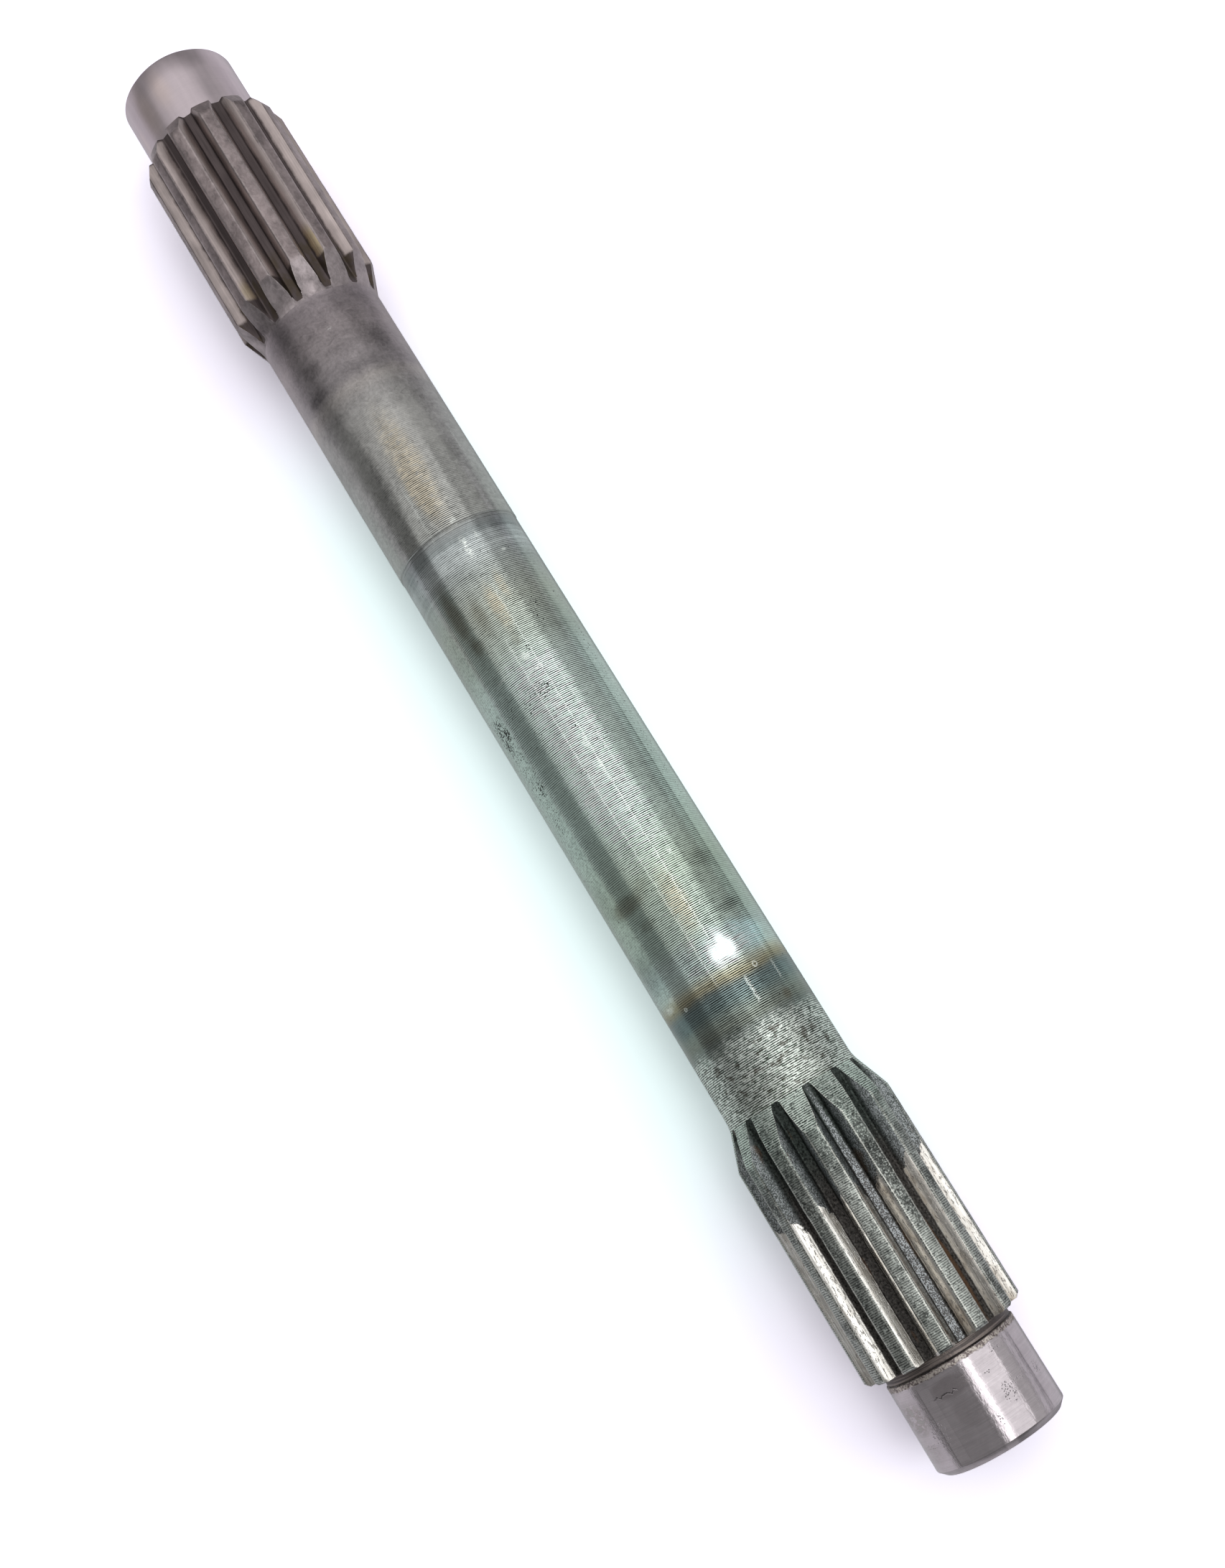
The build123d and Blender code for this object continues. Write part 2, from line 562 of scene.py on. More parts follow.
class Skin:
    """Measures of the shaft's skin inside one material, read from Object coordinates."""

    AXIS_HEIGHT = 12.5
    LOOK_TILT = 1.6
    MM_PER_DEGREE = 0.18

    def __init__(self, name: str) -> None:
        """Starts a material and its measures.

        Args:
            name: the material's name.
        """
        self.material = bpy.data.materials.new(name)
        self.material.use_nodes = True
        self.material.node_tree.nodes.clear()
        self.bench = bench = Bench(self.material.node_tree)
        point = bench.add("ShaderNodeTexCoord", output="Object")
        middle = (TurnedForm.length / 2, 0.0, -self.AXIS_HEIGHT)
        self.local = bench.vector("MULTIPLY_ADD", point, (1 / MM,) * 3, middle)
        self.station, side, rise = bench.split(self.local)
        self.radius = bench.maths("SQRT", side * side + rise * rise)
        turn = bench.maths("ARCTAN2", -side, rise)
        self.around = turn * math.degrees(1) + self.LOOK_TILT
        self.turns = turn * (1 / FULL_TURN)
        self.sheet = bench.join(self.station, self.around * self.MM_PER_DEGREE, 0.0)

    def noise(
        self, along: float, across: float, seed: float, detail: float = 2, rough: float = 0.5, warp: float = 0
    ) -> Wire:
        """Noise on the skin, stretched along or across the shaft.

        Args:
            along: noise cells per mm along the shaft.
            across: noise cells per mm round it.
            seed: shifts the pattern.
            detail: octaves.
            rough: strength of the finer octaves.
            warp: how far the cells are drawn out into wisps.

        Returns:
            A value round 0.5.
        """
        place = self.bench.vector("MULTIPLY_ADD", self.local, (along, across, across), (seed, seed * 1.7, -seed))
        feeds = {"Vector": place, "Scale": 1.0, "Detail": detail, "Roughness": rough, "Distortion": warp}
        return self.bench.add("ShaderNodeTexNoise", feeds)

    def specks(self, per_mm: float, seed: float, size: float, soft: float, along: float = 1.0) -> Wire:
        """Round specks scattered over the skin.

        Args:
            per_mm: cells per mm.
            seed: shifts the pattern.
            size: reach of a speck in cells, 0 to 0.7.
            soft: width of its edge in cells.
            along: stretch of the pattern along the shaft.

        Returns:
            A mask, 1 inside a speck.
        """
        cells = (per_mm * along, per_mm, per_mm)
        place = self.bench.vector("MULTIPLY_ADD", self.local, cells, (seed, -seed, seed * 0.6))
        near = self.bench.add("ShaderNodeTexVoronoi", {"Vector": place, "Scale": 1.0}, output="Distance")
        return near.smooth(size + soft, size - soft)

    def patches(self, soft: float, *spots: Spot) -> Wire:
        """Oval patches on the skin.

        Args:
            soft: share of a patch that fades.
            spots: station, azimuth, length in mm, width in degrees and strength of each.

        Returns:
            The sum of their masks.
        """
        total: Feed = 0.0
        for station, around, length, width, strength in spots:
            stretch = (2 / length, 2 / (width * self.MM_PER_DEGREE), 0.0)
            shift = (-station * stretch[0], -around * self.MM_PER_DEGREE * stretch[1], 0.0)
            place = self.bench.vector("MULTIPLY_ADD", self.sheet, stretch, shift)
            total = self.bench.vector("LENGTH", place, output="Value").smooth(1.0, 1.0 - soft) * strength + total
        return total

    def scores(self, waver: float, jag: Feed, *lines: Spot) -> Wire:
        """Thin lines along the shaft.

        Args:
            waver: how far a line strays to each side, in mm.
            jag: more of the same, in mm, to follow the feed marks.
            lines: azimuth, start, end, width in mm and strength of each.

        Returns:
            The sum of the lines' masks.
        """
        stray = vary(jag, (self.noise(3.4, 0.15, 40), 4 * waver))
        total: Feed = 0.0
        for turn, start, end, width, strength in lines:
            off = abs((self.around - turn) * self.MM_PER_DEGREE + stray)
            total = off.smooth(width * 0.85, width * 0.15) * self.station.band(start, end, 1) * strength + total
        return total

    def feed(self, pitch: float, ripple: Wire) -> Wire:
        """Feed marks of a lathe tool, a helix from -1 to 1: its pitch in mm, shifted by a ripple in turns."""
        phase = self.station * (1 / pitch) + self.turns + ripple
        return self.bench.maths("SINE", phase * FULL_TURN).smooth(-0.7, 0.7) * 2.0 - 1.0

    def tones(self, place: Wire, start: float, end: float, stops: Sequence[tuple[float, Triple]]) -> Wire:
        """Colour that changes with a value from start to end, through stops of value and colour."""
        fitted = [((at - start) / (end - start), colour) for at, colour in stops]
        return self.bench.add("ShaderNodeValToRGB", {0: (place - start) * (1 / (end - start))}, {"stops": fitted})

    def attribute(self, name: str) -> Wire:
        """A value that the mesh carries."""
        return self.bench.add("ShaderNodeAttribute", {}, {"attribute_name": name}, "Fac")

    def dress(self, layers: Layers) -> bpy.types.Material:
        """Ends the material with what the finish worked out.

        Args:
            layers: colour, roughness and height.

        Returns:
            The material.
        """
        normal = self.bench.add("ShaderNodeBump", {"Height": layers.height, "Distance": MM}, output="Normal")
        feeds = {"Base Color": layers.colour, "Roughness": layers.roughness, "Metallic": 1.0, "Normal": normal}
        shader = self.bench.add("ShaderNodeBsdfPrincipled", feeds, output="BSDF")
        self.bench.node("ShaderNodeOutputMaterial", {"Surface": shader})
        return self.material


@dataclass(frozen=True)
class Finish:
    """One finish of the steel."""

    name: str = "steel"

    def layers(self, skin: Skin) -> Layers:
        """Colour, roughness and height that the finish gives a skin."""
        raise NotImplementedError

    def material(self) -> bpy.types.Material:
        """The finish as a material."""
        skin = Skin(self.name)
        return skin.dress(self.layers(skin))


@dataclass(frozen=True)
class GroundFinish(Finish):
    """Finely ground journal that has gone dull, with soft cloudy oil marks."""

    name: str = "ground_far_journal"
    tint: Triple = tone(0.795, 0.745, 0.765)
    warm_tint: Triple = tone(0.83, 0.765, 0.755)
    warm: tuple[Spot, ...] = ((5.5, 14, 11, 30, 1), (7, 38, 16, 34, 1), (9, 66, 9, 22, 0.6))

    def layers(self, skin: Skin) -> Layers:
        """Grinds a skin.

        Args:
            skin: the journal's.

        Returns:
            Its layers.
        """
        clouds = skin.noise(0.22, 0.22, 3.1, 4, 0.6)
        rings = skin.noise(4, 0.12, 8.4, 3)
        rim = skin.station.smooth(1.2, 0.8)
        amount = vary(1.0, (clouds, 0.28), (rings, 0.1), (skin.noise(0.06, 1.1, 5.2, 3), 0.22)) - rim * 0.12
        colour = skin.bench.coats(self.tint, (skin.patches(0.9, *self.warm) * 0.8, self.warm_tint))
        rough = vary(0.32, (clouds, 0.12)) + rim * 0.05
        height = rings * 0.003 + skin.noise(14, 0.4, 1.3, 1) * 0.0012
        return Layers(skin.bench.shade(colour, amount), rough, height)


@dataclass(frozen=True)
class FarLandFinish(Finish):
    """Tooth lands and cone of the far spline: smooth, mottled and brown with old oil, with edges lighter from rubbing
    and from a painted edge highlight, and painted lighter beyond azimuth -46.
    """

    name: str = "far_spline_lands"
    tint: Triple = tone(0.57, 0.525, 0.525)
    cone_tint: Triple = tone(0.58, 0.545, 0.55)
    edge_wear_and_highlight_tint: Triple = tone(0.74, 0.71, 0.7)

    def layers(self, skin: Skin) -> Layers:
        """Mottles a skin.

        Args:
            skin: that of the far lands.

        Returns:
            Its layers.
        """
        bench, noise = skin.bench, skin.noise
        clouds = noise(0.3, 0.42, 2.2, 4, 0.62)
        fine = noise(1.6, 2.6, 5, 3, 0.6)
        cone = skin.station.smooth(46, 47.2)
        # Paler patches, and the lands painted lighter beyond azimuth -46
        paler_patches_and_lit_side = skin.patches(0.6, (49.5, -11, 6, 26, 0.12), (17, 15, 6, 20, 0.25))
        paler_patches_and_lit_side = paler_patches_and_lit_side + skin.around.smooth(-46, -62) * 0.16
        blotch, wisps = noise(0.16, 0.22, 12), noise(0.6, 0.8, 41, 4, 0.65, 1.4)
        amount = vary(1 + paler_patches_and_lit_side, (clouds, 1.2), (blotch, 1.1), (wisps, 1.2), (fine, 0.4))
        edge = skin.attribute("edge")
        # Lighter edges: partly rubbed wear, partly a painted edge highlight
        edge_wear_and_highlight = (edge * (0.25 + fine * 0.9)).smooth(0.35, 0.95) * (0.55 + cone * 0.35)
        base = bench.coats(self.tint, (cone, self.cone_tint))
        colour = bench.coats(bench.shade(base, amount), (edge_wear_and_highlight, self.edge_wear_and_highlight_tint))
        rough = vary(0.4, (clouds, -0.2)) - edge * 0.06
        return Layers(colour, rough, noise(6, 3, 1.9) * 0.004 + clouds * 0.02)


@dataclass(frozen=True)
class FarFlankFinish(Finish):
    """Gaps of the far spline: flanks rubbed to a dull beige over dark, oily roots, the flanks painted lighter beyond
    azimuth -18.
    """

    name: str = "far_spline_gaps"
    root: Triple = tone(0.41, 0.37, 0.37)
    olive: Triple = tone(0.3, 0.26, 0.17)
    worn: Triple = tone(0.715, 0.665, 0.655)
    straw: Triple = tone(0.68, 0.61, 0.45)
    straws: tuple[Spot, ...] = ((44.5, -29, 9, 16, 1), (45, -50, 8, 14, 0.8), (45.5, 36, 7, 14, 0.8))

    def layers(self, skin: Skin) -> Layers:
        """Rubs the flanks and oils the roots.

        Args:
            skin: that of the far gaps.

        Returns:
            Its layers.
        """
        bench, noise, station, around = skin.bench, skin.noise, skin.station, skin.around
        waver = noise(0.5, 0.5, 4.4, 3)
        clouds = noise(0.22, 0.5, 14, 3)
        streaks = noise(0.1, 5, 7.3, 3, 0.6)
        worn = vary(skin.radius, (waver, 0.6)).smooth(10.7, 11.25) * vary(station, (waver, 1.2)).band(13.4, 47, 0.6)
        rubbed = bench.coats(self.worn, (skin.patches(0.7, *self.straws) * 0.7, self.straw))
        # Painted light: worn flanks lighter beyond azimuths -18 and -46
        painted_side_light = around.smooth(-18, -30) * 0.06 + around.smooth(-46, -62) * 0.1
        bright = bench.shade(rubbed, vary(0.86 + painted_side_light, (streaks, 0.7), (clouds, 0.9)))
        dark = bench.shade(self.root, vary(0.75, (streaks, 0.8), (clouds, 0.5)))
        olive = station.band(43, 52, 3) * noise(0.4, 0.6, 22).smooth(0.4, 0.6)
        colour = bench.coats(dark, (olive * 0.5, self.olive), (worn, bright))
        rough = vary(0.5, (streaks, 0.15)) - worn * 0.14
        return Layers(colour, rough, streaks * 0.006 - worn * 0.01)


@dataclass(frozen=True)
class TurnedFinish(Finish):
    """Turned body: feed marks, oil clouds, a temper band and pitting towards the near cone, with painted highlights,
    painted reflection lines and painted shade.
    """

    name: str = "turned_body"
    feed: float = 0.305
    oil: Triple = tone(0.36, 0.32, 0.24)
    pit: Triple = tone(0.13, 0.125, 0.12)
    stain: Triple = tone(0.24, 0.205, 0.16)
    pale: Triple = tone(0.93, 0.955, 0.93)
    gilt: Triple = tone(0.73, 0.68, 0.58)
    # Colour of a painted sheen beside the highlight
    painted_sheen_tint: Triple = tone(0.79, 0.93, 0.935)
    # Colour of the painted highlight
    painted_highlight_tint: Triple = tone(0.89, 0.965, 0.96)
    green: Triple = tone(0.64, 0.775, 0.745)
    plain: Triple = tone(0.66, 0.655, 0.65)
    pit_clusters: tuple[Spot, ...] = (
        (129, 62, 8, 26, 1), (129.5, 52, 2.6, 8, 1), (127.5, 0, 4, 20, 1), (128.5, 18, 4, 10, 0.7),
        (114.5, -34, 3, 6, 1.3), (112.5, -37, 4.5, 5, 0.7), (116.5, -29, 7, 12, 0.5), (120.5, -7, 3, 5, 1),
        (139.5, 52, 2.6, 10, 0.9), (136.8, 48, 1.2, 3, 1), (137, 57, 30, 26, 0.62), (134, -62, 60, 18, 0.4),
        (127, 38, 6, 22, 0.55), (103.5, 47, 2.5, 5, 0.6),
    )
    oil_stains: tuple[Spot, ...] = (
        (110, 34, 16, 26, 1), (116.5, 30, 5, 20, 0.8), (113, 14, 12, 22, 0.65), (118.5, -2, 5, 14, 0.55),
        (161.5, 38, 4.5, 60, 0.95), (160, 16, 3, 22, 0.5), (165.5, 30, 3, 24, 0.6), (191, 20, 1.8, 36, 0.8),
        (189.5, -30, 7, 30, 0.5), (183.8, -42, 3, 16, 0.8),
    )
    gold: tuple[Spot, ...] = (
        (113, -3, 13, 20, 1), (110, -16, 8, 14, 0.8), (165, -2, 16, 30, 0.95), (172, 8, 8, 20, 0.4),
        (86, -2, 32, 40, 1.1), (90, 4, 15, 20, 0.9),
    )
    # Spots of a painted highlight, two white lobes and a paler spread, where the metal is also polished smoother
    polished: tuple[Spot, ...] = (
        (174.4, -5, 6, 20, 0.75), (174.1, -17, 7, 22, 0.95), (171.6, -14, 5, 16, 0.4), (174.2, -30, 5.5, 30, 0.3),
    )
    # Painted glints: small bright spots where the lamps catch the metal
    painted_glints: tuple[Spot, ...] = (
        (121.8, -1, 1.8, 12, 1.6), (124.3, -3, 1.2, 16, 1.2), (129, 2, 3, 8, 0.6), (137.5, -6, 5, 9, 0.8),
        (142, -7, 4, 7, 0.8), (157.9, -18, 1.4, 5, 1.6), (166.6, -17, 1.2, 4, 1.4), (104.8, -35, 0.7, 7, 1.6),
        (102.3, -7, 6, 9, 1.2), (101, -20, 3, 5, 0.9), (97.6, -9, 2, 8, 0.8), (123, 28, 0.8, 12, 0.8),
        (59, -4, 1, 8, 0.4), (77.5, -7, 0.6, 6, 0.6),
    )
    # Darker patches: oil clouds and stains on the far body, and painted shade on both sides of the body past station
    # 98
    dark_clouds_and_shade: tuple[Spot, ...] = (
        (57, 37, 10, 28, 0.55), (63.3, 30, 4.5, 34, 0.75), (67.2, 38, 3.2, 42, 0.9), (67, -10, 3.4, 70, 0.45),
        (63, -42, 7, 34, 0.75), (56, -20, 4, 24, 0.4), (72.5, 36, 4, 20, 0.4), (58, 12, 5, 18, 0.3),
        (62.8, 2, 2.6, 40, 0.4), (76, -44, 9, 22, 0.45), (86, -46, 9, 24, 0.55), (87, 29, 26, 26, 0.6),
        (93, 52, 16, 26, 0.35), (96, 34, 5, 18, 0.4), (79.5, 13, 3, 16, 0.25), (103, 58, 11, 40, 0.5),
        (159, 62, 12, 36, 0.35), (171.5, 60, 11, 48, 0.65), (182, 62, 8, 34, 0.5), (181, -46, 7, 18, 0.3),
        (161, -38, 5, 40, 0.6), (168.8, -40, 3, 44, 0.7), (100.8, -42, 5, 26, 0.5), (148, -44, 12, 22, 0.3),
    )
    # Pale lines along the shaft: the first three are painted highlights, edges of the lamps reflected in the feed
    # marks; the rest are pale scores
    pale_scores_and_highlight_lines: tuple[Spot, ...] = (
        (5.5, 118, 178, 0.17, 0.55), (-9, 110, 172, 0.17, 0.5), (-20, 124, 171, 0.14, 0.3),
        (-17, 179, 183, 0.28, 1), (-46, 178.6, 181.5, 0.22, 0.9), (-47, 174.5, 176.8, 0.14, 0.8),
        (14, 89, 99, 0.2, 0.35), (-56, 81.5, 86, 0.2, 0.4),
    )
    # Painted dark lines: dark reflections at azimuths 0 and -52.5, and a wide painted shade band at -44
    painted_dark_lines: tuple[Spot, ...] = (
        (-52.5, 122, 178, 0.24, 0.3), (0, 76, 96, 1.1, 0.12), (-44, 98, 172, 3, 0.2),
    )
    steel: tuple[tuple[float, float, float, float], ...] = (
        (50, 0.575, 0.54, 0.55), (54.5, 0.505, 0.475, 0.485), (59, 0.545, 0.515, 0.52), (67.5, 0.54, 0.52, 0.525),
        (69.5, 0.61, 0.59, 0.58), (72, 0.585, 0.575, 0.57), (76.5, 0.635, 0.63, 0.62), (97.6, 0.635, 0.64, 0.625),
        (98.8, 0.575, 0.59, 0.59), (100.3, 0.55, 0.575, 0.575), (101.2, 0.69, 0.715, 0.715),
        (104.2, 0.7, 0.725, 0.72), (105.3, 0.64, 0.665, 0.655), (112, 0.68, 0.705, 0.665),
        (119, 0.66, 0.7, 0.665), (124.5, 0.735, 0.79, 0.765), (150, 0.725, 0.79, 0.755), (160, 0.675, 0.73, 0.675),
        (169.8, 0.68, 0.74, 0.7), (171.8, 0.7, 0.76, 0.74), (173.5, 0.72, 0.79, 0.77), (175.8, 0.73, 0.79, 0.76),
        (176.9, 0.7, 0.71, 0.64), (177.8, 0.6, 0.585, 0.49), (178.5, 0.53, 0.53, 0.475),
        (179.1, 0.43, 0.485, 0.485), (181, 0.445, 0.51, 0.505), (182.6, 0.51, 0.55, 0.52),
        (184, 0.485, 0.51, 0.475), (185.3, 0.465, 0.5, 0.48), (187.5, 0.645, 0.7, 0.665),
        (196, 0.67, 0.715, 0.665),
    )
    mark_depths: tuple[Point, ...] = (
        (50, 0), (73, 0), (82, 0.38), (90, 0.7), (97.5, 0.85), (98, 0.15), (100.2, 0.2), (101, 0.5), (107, 0.9),
        (125, 1), (183, 1), (188, 0.85), (198, 0.9),
    )

    def layers(self, skin: Skin) -> Layers:
        """Turns, stains and pits a skin.

        Args:
            skin: the body's.

        Returns:
            Its layers.
        """
        bench, noise, patches = skin.bench, skin.noise, skin.patches
        station, around = skin.station, skin.around
        slow = noise(0.08, 0.1, 6)
        clouds = noise(0.35, 0.35, 1, 5, 0.64)
        fine = noise(2.6, 2.6, 2, 3, 0.65)
        dash = noise(3.3, 1, 31, 3, 0.7)
        worm = noise(2, 1.6, 37, 4, 0.65)
        chatter = noise(3.3, 0.5, 4, 2, 0.6)
        rings = noise(1.8, 0.02, 12, 3, 0.7)
        texture = 0.5 + clouds * 0.5 + dash * 0.5

        # Colour of the steel along the bar; its bands stray a little round it
        wander = vary(station, (slow, 1.6), (clouds, 1.1), (dash, 0.35))
        steel = skin.tones(wander, 50, 200, [(at, tone(*shown)) for at, *shown in self.steel])

        # Feed marks, lost where the bar is smooth, under the painted highlight, and where it is pitted
        depths = skin.tones(station, 50, 200, [(at, (depth,) * 3) for at, depth in self.mark_depths])
        marks = bench.maths("MULTIPLY", depths, 1)
        wave = skin.feed(self.feed, vary(0, (chatter, 0.16)))
        smoothed = around.band(45, 115, 5) * 0.85 + around.band(-115, -54, 4) * 0.6
        off_top = vary(abs(around + 2), (clouds, 16)).smooth(6, 20)
        focus = 1 - abs(around + 4).smooth(14, 40) * 0.4 - off_top * station.smooth(100, 96) * 0.5
        # Painted highlight over metal polished smoother: paler colour, fainter feed marks and less roughness
        polish_and_painted_highlight = (patches(0.9, *self.polished) * texture).smooth(0, 1.15)
        line = wave * marks * (0.7 + chatter.smooth(0.3, 0.7) * 0.6) * (1 - smoothed) * focus
        line = line * (1 - station.smooth(184, 187) * worm.smooth(0.38, 0.58) * 0.9)
        line = line * (1 - polish_and_painted_highlight.smooth(0.2, 1) * 0.9)
        coarse = station.band(99.8, 106.5, 1.2)
        edges = station.band(98.05, 98.3, 0.2) + station.band(98.62, 98.82, 0.2) * 0.7

        # Oil, clouds and stains, with painted shade on the near body's sides and a painted highlight wedge
        mottled = station.smooth(99, 66)
        wisps = noise(0.8, 0.55, 51, 5, 0.68, 1.6)
        # Oil clouds, and painted shade on the body's sides
        dark = (patches(0.8, *self.dark_clouds_and_shade) * (0.55 + clouds)).smooth(0, 1.1)
        stain = (patches(0.8, *self.oil_stains) * (0.5 + clouds)).smooth(0, 1.2)
        golden = patches(0.8, *self.gold) * (0.3 + (dash + wave * 0.1).smooth(0.38, 0.6) * 0.9) * (0.5 + clouds)
        # Painted highlight: a paler wedge spreading from the highlight's lobes towards azimuth -42
        painted_highlight_wedge = (patches(0.8, (173.8, -42, 7, 44, 1), (171.5, -30, 3, 22, 0.5)) * texture).smooth(0, 1.1)
        greener = around.band(26, 44, 4) * station.band(106, 171, 4)
        hidden = abs(around).smooth(88, 125) * station.smooth(97, 103)

        # Pitted end, pits, scores and spatter, with painted highlight lines, painted dark lines and painted glints
        rough_end = vary(station, (clouds, 4), (worm, 3)).smooth(184.6, 187.2)
        crust = vary(dash + wave * 0.13, (worm, 0.5))
        dents = crust.smooth(0.48, 0.41) * rough_end
        crumbs = vary(crust, (fine, 0.4)).smooth(0.51, 0.57) * rough_end
        blots = noise(0.75, 0.6, 44, 3, 0.6).smooth(0.57, 0.66) * rough_end
        scatter = clouds.smooth(0.58, 0.75) * station.band(108, 172, 8) * 0.3
        pits = noise(4.4, 3.2, 3) + (patches(0.5, *self.pit_clusters) + scatter) * 0.13
        pits = pits.smooth(0.7, 0.74) * station.smooth(98, 102)
        grain = (fine + around.band(44, 90, 4) * 0.11).smooth(0.62, 0.68) * station.band(110, 178, 6)
        # Pale scores and painted highlight lines
        pale = skin.scores(0.2, wave * 0.13, *self.pale_scores_and_highlight_lines)
        # Painted dark reflection lines and a painted shade band
        shadow = skin.scores(0.05, 0, *self.painted_dark_lines)
        # Painted glints
        painted_glints = patches(0.8, *self.painted_glints) * (fine + dash).smooth(0.85, 1.25)
        ring = patches(0.4, (178.1, -30, 1.2, 6, 1), (178.5, 40, 0.8, 4, 1))
        ring = ring - patches(0.5, (178.1, -30, 0.7, 3.4, 1), (178.5, 40, 0.45, 2, 1))
        smear = patches(0.8, (177.2, 59, 1.6, 20, 1), (176, 48, 1.3, 14, 0.6)) * (dash + fine)

        # Painted light and shade: lighter sides on the far body, a lighter and a darker band round it, a lighter top
        # on the near body, and darker sides at the pitted end
        painted_far_side_light = (around.smooth(44, 76) * 0.85 + around.smooth(-48, -70) * 0.4) * station.smooth(80, 66)
        painted_far_bands = (around.band(-38, -20, 6) - around.band(12, 30, 6)) * station.band(76, 98, 4)
        top = around.band(-3, 20, 4) * station.band(102, 172, 6)
        painted_end_side_shade = (around.band(-60, -33, 5) * 0.3 + around.band(40, 66, 5) * 0.24) * rough_end
        amount = vary(
            1 + line * 0.82 + polish_and_painted_highlight * 0.22 - edges * 0.34 - dark * 0.42 - shadow,
            (clouds, 0.34 + mottled * 0.45),
            (wisps, 0.25 + station.smooth(101, 95) * 0.75),
            (fine, 0.5),
            (dash, marks * (0.45 + station.smooth(99, 96) * 0.6)),
            (slow, 0.3),
            (noise(0.04, 1.3, 33, 3, 0.6), 0.25),
            (rings, 0.2 + coarse),
        )
        amount = amount + painted_far_side_light + painted_far_bands * 0.14 + top * 0.12 - painted_end_side_shade
        cleaned = bench.coats(
            steel,
            (golden.smooth(0, 1.4) * 0.6, self.gilt),
            (painted_highlight_wedge * 0.6, self.painted_sheen_tint),
            (polish_and_painted_highlight, self.painted_highlight_tint),
            (greener * 0.2, self.green),
            (hidden * 0.45, self.plain),
            (stain * 0.62, self.oil),
        )
        colour = bench.coats(
            bench.shade(cleaned, amount),
            (dents * 0.82, self.pit),
            (crumbs * 0.9, self.pale),
            (blots * 0.6, self.stain),
            ((pale + ring * 0.7 + smear * 0.6 + painted_glints) * (0.2 + dash), self.pale),
            (pits * 0.92 + grain * (1 - pits) * 0.35, self.pit),
        )
        rough = vary(0.2, (clouds, 0.1)) + mottled * 0.2 - polish_and_painted_highlight * 0.12 + rough_end * 0.14
        rough = rough + pits * 0.3 + dark * 0.1 + stain * 0.06
        height = vary(line * 0.012 + clouds * 0.006, (dash, rough_end * 0.1)) + rings * (0.002 + coarse * 0.02)
        height = height - edges * 0.02 - pits * 0.05 + (ring + pale * 0.3) * 0.03
        return Layers(colour, rough, height)


@dataclass(frozen=True)
class NearLandFinish(Finish):
    """Tooth lands and cone of the near spline: turning marks, dark pitting, and edges lighter from rubbing and from a
    painted edge highlight.
    """

    name: str = "near_spline_lands"
    feed: float = 0.305
    tint: Triple = tone(0.615, 0.63, 0.61)
    cold: Triple = tone(0.575, 0.64, 0.6)
    dark: Triple = tone(0.2, 0.215, 0.21)
    crumb: Triple = tone(0.82, 0.845, 0.82)
    edge_wear_and_highlight_tint: Triple = tone(0.84, 0.84, 0.81)

    def layers(self, skin: Skin) -> Layers:
        """Turns, scales and rubs a skin.

        Args:
            skin: that of the near lands.

        Returns:
            Its layers.
        """
        bench, noise, station = skin.bench, skin.noise, skin.station
        clouds = noise(0.28, 0.4, 14, 3, 0.6)
        fine = noise(3, 3, 11, 3, 0.7)
        dash = noise(3.3, 1.5, 16, 3, 0.7)
        wave = skin.feed(self.feed, vary(0, (dash, 0.7)))
        cone = station.smooth(202.6, 200.8)
        upper = station.smooth(216, 203) * station.smooth(200.4, 202.2)

        # Where the skin has gone scaly, the turning marks are lost
        scaly = clouds + skin.patches(0.5, (210, -27, 26, 14, 0.25), (203, -5, 8, 20, 0.1))
        scaly = scaly.smooth(0.52, 0.66)
        line = wave * (1 - scaly * 0.8)
        cover = vary(noise(0.22, 0.3, 19, 3, 0.6) + upper * 0.09, (fine, 0.3)).smooth(0.46, 0.66)
        cells = skin.specks(2.6, 9, 0.3, 0.22)

        sides = cone * 0.22 + station.smooth(199.2, 196.6) * 0.3
        amount = vary(1 + line * (0.42 + cone * 0.5) + sides, (fine, 1.6), (clouds, 0.5), (cells, scaly * 1.1))
        turned = bench.coats(
            self.tint,
            (station.smooth(210, 201) * 0.5, self.cold),
            (cover * (0.62 - cone * 0.35), self.dark),
        )
        # Lighter edges: partly rubbed wear, partly a painted edge highlight
        rubbed = (skin.attribute("edge") * (0.35 + fine * 1.1)).smooth(0.5, 1)
        colour = bench.coats(
            bench.shade(turned, amount),
            (vary(fine, (dash, 0.4)).smooth(0.57, 0.66) * (0.72 + cone * 0.25), self.crumb),
            (vary(dash, (fine, 0.4)).smooth(0.43, 0.36) * 0.75, self.dark),
            (rubbed * (1 - upper * 0.4), self.edge_wear_and_highlight_tint),
        )
        rough = vary(0.34, (fine, 0.2)) + cover * 0.12 - rubbed * 0.1
        return Layers(colour, rough, line * 0.007 + fine * 0.05 - cover * 0.015 + cells * scaly * 0.03)


